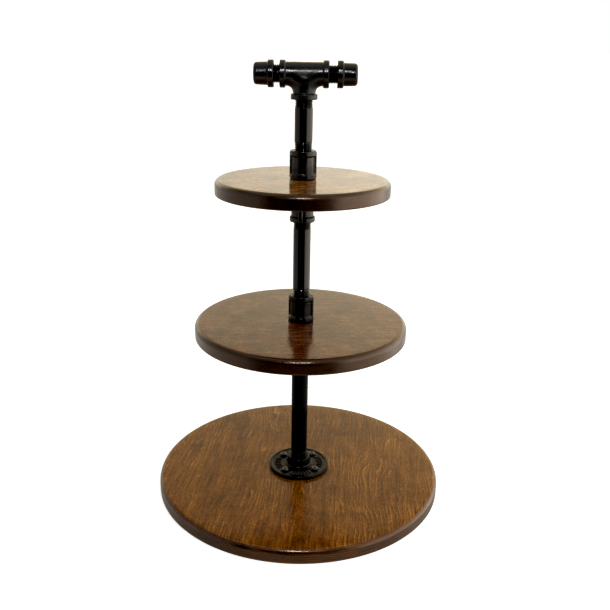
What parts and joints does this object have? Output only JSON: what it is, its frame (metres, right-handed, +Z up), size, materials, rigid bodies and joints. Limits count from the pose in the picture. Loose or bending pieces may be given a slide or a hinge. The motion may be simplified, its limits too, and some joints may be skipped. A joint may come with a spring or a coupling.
{
  "type": "tiered cake stand",
  "caption": "Tiered serving stand: round stained plywood boards clamped on a central post of black threaded pipe fittings, with a capped tee as the carrying handle.",
  "frame": {"origin": "centre of the base board's underside, on the surface that the stand rests on", "axes": "+Z up along the post; +X along the handle to the right, seen from the front; -Y to the front"},
  "size_m": [0.3746, 0.3746, 0.5477],
  "materials": {
    "stained_plywood": "clear satin lacquer over walnut stain",
    "black_fitting": "black gloss lacquer over a sand-cast skin",
    "black_pipe": "black gloss lacquer, drawn steel",
    "black_screw": "black oxide"
  },
  "bodies": {
    "base": {"base_board": "stained_plywood", "floor_flange": "black_fitting", "flange_screws": "black_screw"},
    "lower_post": {"lower_pipe": "black_pipe", "middle_lower_coupling": "black_fitting", "middle_board_nipple": "black_pipe", "middle_upper_coupling": "black_fitting"},
    "middle_tier": {"middle_board": "stained_plywood"},
    "upper_post": {"middle_pipe": "black_pipe", "top_lower_coupling": "black_fitting", "top_board_nipple": "black_pipe", "top_upper_coupling": "black_fitting"},
    "top_tier": {"top_board": "stained_plywood"},
    "handle": {"handle_pipe": "black_pipe", "handle_tee": "black_fitting", "left_nipple": "black_pipe", "right_nipple": "black_pipe"},
    "left_cap": {"left_cap": "black_fitting"},
    "right_cap": {"right_cap": "black_fitting"}
  },
  "joints": [
    {"name": "lower_pipe_thread", "type": "hinge", "parent": "base", "child": "lower_post", "pos_m": [0, 0, 0.0345], "axis": [0, 0, 1], "range_deg": [0, 180]},
    {"name": "middle_board_turn", "type": "hinge", "parent": "lower_post", "child": "middle_tier", "pos_m": [0, 0, 0.2218], "axis": [0, 0, 1], "continuous": true},
    {"name": "middle_pipe_thread", "type": "hinge", "parent": "lower_post", "child": "upper_post", "pos_m": [0, 0, 0.2648], "axis": [0, 0, 1], "range_deg": [0, 180]},
    {"name": "top_board_turn", "type": "hinge", "parent": "upper_post", "child": "top_tier", "pos_m": [0, 0, 0.4025], "axis": [0, 0, 1], "continuous": true},
    {"name": "handle_pipe_thread", "type": "hinge", "parent": "upper_post", "child": "handle", "pos_m": [0, 0, 0.4455], "axis": [0, 0, 1], "range_deg": [0, 180]},
    {"name": "left_cap_thread", "type": "hinge", "parent": "handle", "child": "left_cap", "pos_m": [-0.0354, 0, 0.5322], "axis": [-1, 0, 0], "range_deg": [0, 180]},
    {"name": "right_cap_thread", "type": "hinge", "parent": "handle", "child": "right_cap", "pos_m": [0.0382, 0, 0.5322], "axis": [1, 0, 0], "range_deg": [0, 180]}
  ]
}
